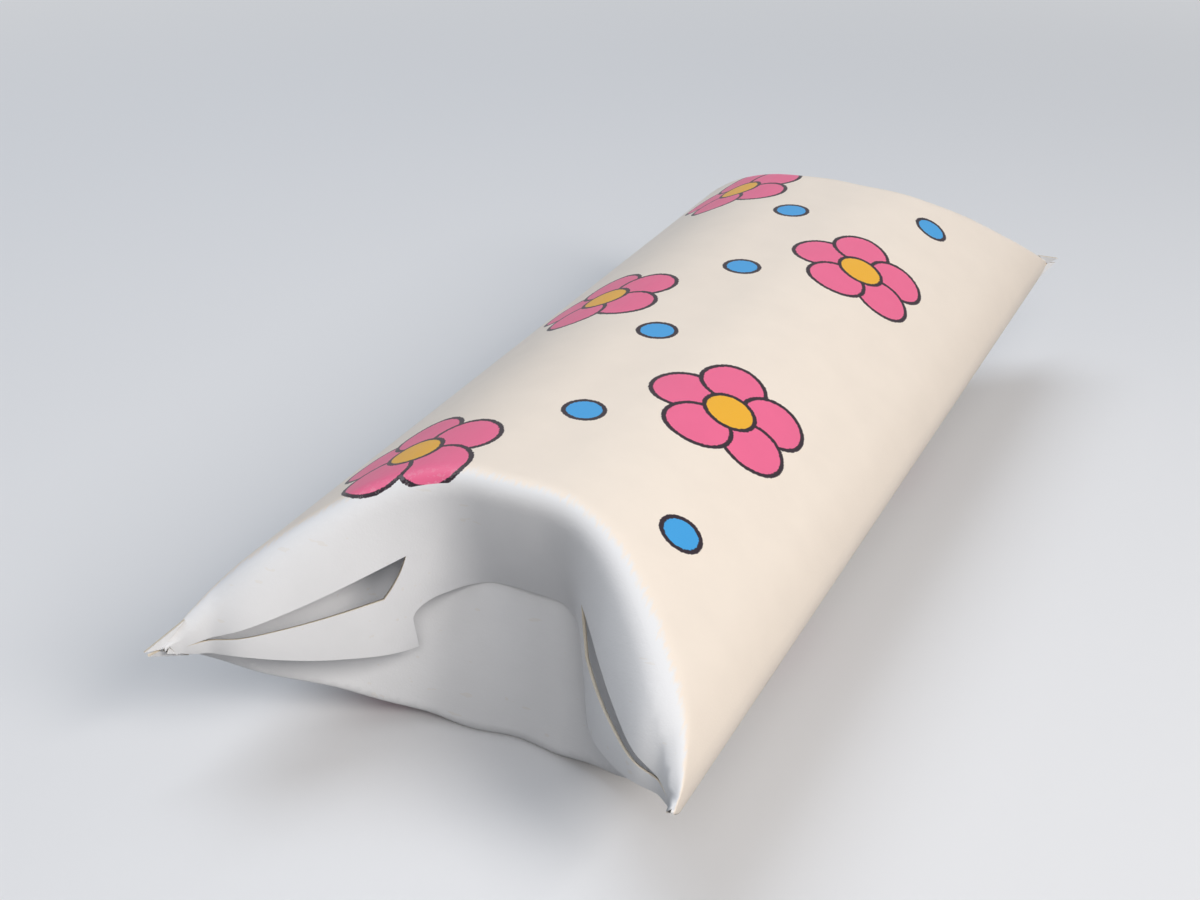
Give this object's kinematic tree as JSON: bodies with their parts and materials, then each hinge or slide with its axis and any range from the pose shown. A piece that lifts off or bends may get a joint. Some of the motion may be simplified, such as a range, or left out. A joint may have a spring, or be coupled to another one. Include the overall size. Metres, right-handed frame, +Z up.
{
  "type": "pillow box",
  "caption": "Long pillow box of folded card with arched panels, curved tuck-in end flaps, a thumb notch and slits at each end.",
  "frame": {"origin": "centre of the flat strip of the lower panel on which the box rests, at the bottom centre of its bounding box", "axes": "+X across the box, +Y along it towards the rear end, +Z up; the front end is at -Y"},
  "size_m": [0.07, 0.182, 0.039],
  "materials": {
    "printed_card": "coated card, satin, with a printed pattern of flowers and dots",
    "plain_card": "uncoated white card, matt",
    "dried_glue": "thin dried film"
  },
  "bodies": {
    "tube": {"top_panel": "printed_card", "bottom_panel": "printed_card", "glue_tab": "plain_card", "seam_glue": "dried_glue"},
    "front_outer_flap": {"front_outer_flap": "plain_card"},
    "front_inner_flap": {"front_inner_flap": "plain_card"},
    "rear_outer_flap": {"rear_outer_flap": "plain_card"},
    "rear_inner_flap": {"rear_inner_flap": "plain_card"}
  },
  "joints": [
    {"name": "front_outer_fold", "type": "hinge", "parent": "tube", "child": "front_outer_flap", "pos_m": [0, -0.0656, 0.039], "axis": [-1, 0, 0], "range_deg": [0, 100]},
    {"name": "front_inner_fold", "type": "hinge", "parent": "tube", "child": "front_inner_flap", "pos_m": [0, -0.066, 0], "axis": [1, 0, 0], "range_deg": [0, 35]},
    {"name": "rear_outer_fold", "type": "hinge", "parent": "tube", "child": "rear_outer_flap", "pos_m": [0, 0.0656, 0.039], "axis": [1, 0, 0], "range_deg": [0, 100]},
    {"name": "rear_inner_fold", "type": "hinge", "parent": "tube", "child": "rear_inner_flap", "pos_m": [0, 0.066, 0], "axis": [-1, 0, 0], "range_deg": [0, 35]}
  ],
  "couplings": [
    {"joint": "front_inner_fold", "follows": "front_outer_fold", "ratio": 0.35},
    {"joint": "rear_inner_fold", "follows": "rear_outer_fold", "ratio": 0.35}
  ]
}
